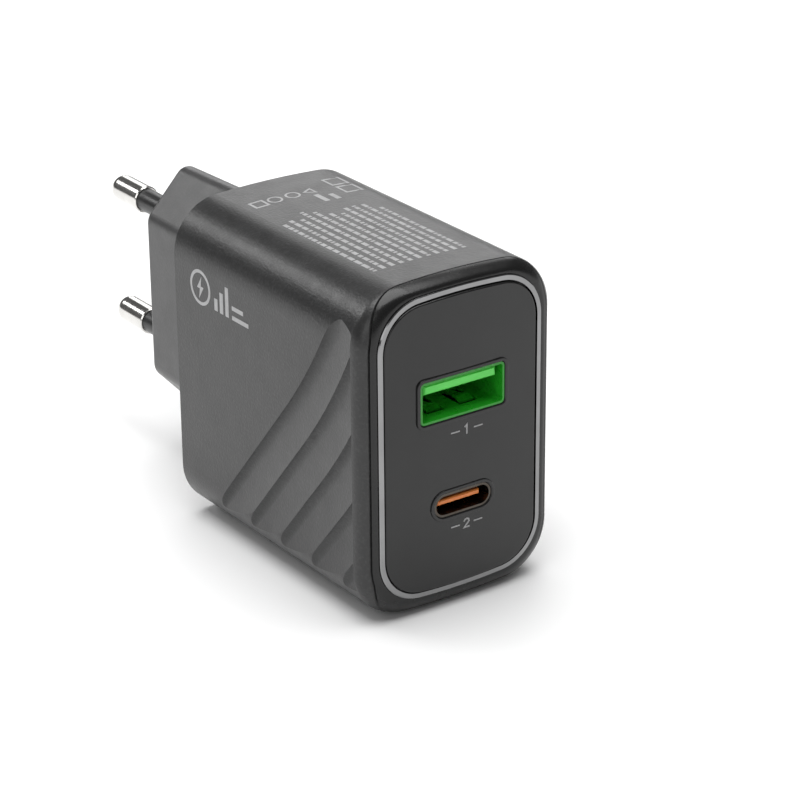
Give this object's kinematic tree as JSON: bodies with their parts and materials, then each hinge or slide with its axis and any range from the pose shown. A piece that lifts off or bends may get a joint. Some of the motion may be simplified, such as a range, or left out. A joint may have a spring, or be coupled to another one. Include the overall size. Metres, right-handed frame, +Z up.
{
  "type": "usb wall charger",
  "caption": "Compact black USB wall charger with a two-pin mains plug, fluted sides, and a USB-A socket above a USB-C socket on its front.",
  "frame": {"origin": "centre of the plug's face, midway between the two pins", "axes": "+Y points into the wall socket along the pins, +Z up from the lower pin to the upper pin, sockets face -Y"},
  "size_m": [0.03, 0.0849, 0.0454],
  "materials": {
    "housing_plastic": "matte black moulded plastic with a fine spark-eroded grain",
    "plug_plastic": "matte black moulded plastic",
    "cover_plastic": "satin black plastic",
    "ring_plastic": "polished black plastic",
    "panel_plastic": "satin black plastic",
    "pin_metal": "nickel-plated brass",
    "sleeve_plastic": "black insulating plastic",
    "lead_brass": "stamped spring brass",
    "board_laminate": "green circuit board laminate",
    "green_shell": "green coated steel socket shell",
    "green_plastic": "bright green moulded plastic",
    "contact_gold": "gold-plated spring contacts",
    "steel_shell": "drawn steel socket shell",
    "orange_plastic": "orange moulded plastic",
    "ferrite": "dark grey ferrite",
    "bobbin_plastic": "black phenolic",
    "winding_tape": "copper winding under yellow tape",
    "choke_copper": "enamelled copper wire",
    "can_aluminium": "aluminium can in a dark sleeve",
    "fuse_plastic": "dark fuse body",
    "disc_ceramic": "blue coated ceramic disc",
    "chip_plastic": "black epoxy package",
    "sheet_plastic": "pale insulating film",
    "spreader_aluminium": "plain aluminium sheet",
    "pad_silicone": "grey-blue silicone pad"
  },
  "bodies": {
    "root": {"housing": "housing_plastic", "front_cover": "cover_plastic", "trim_ring": "ring_plastic", "port_panel": "panel_plastic", "plug_body": "plug_plastic", "plug_pin_upper": "pin_metal", "plug_pin_lower": "pin_metal", "pin_sleeve_upper": "sleeve_plastic", "pin_sleeve_lower": "sleeve_plastic", "mains_leads": "lead_brass", "main_board": "board_laminate", "port_board": "board_laminate", "insulating_sheet": "sheet_plastic", "usb_a_shell": "green_shell", "usb_a_tongue": "green_plastic", "usb_a_contacts": "contact_gold", "usb_c_shell": "steel_shell", "usb_c_tongue": "orange_plastic", "usb_c_contacts": "contact_gold", "transformer_core": "ferrite", "transformer_bobbin": "bobbin_plastic", "transformer_winding": "winding_tape", "input_capacitors": "can_aluminium", "output_capacitors": "can_aluminium", "choke_core": "ferrite", "choke_winding": "choke_copper", "fuse": "fuse_plastic", "y_capacitor": "disc_ceramic", "bridge_rectifier": "chip_plastic", "controller_chip": "chip_plastic", "rectifier_chip": "chip_plastic", "heat_spreader": "spreader_aluminium", "thermal_pad": "pad_silicone"}
  },
  "joints": []
}
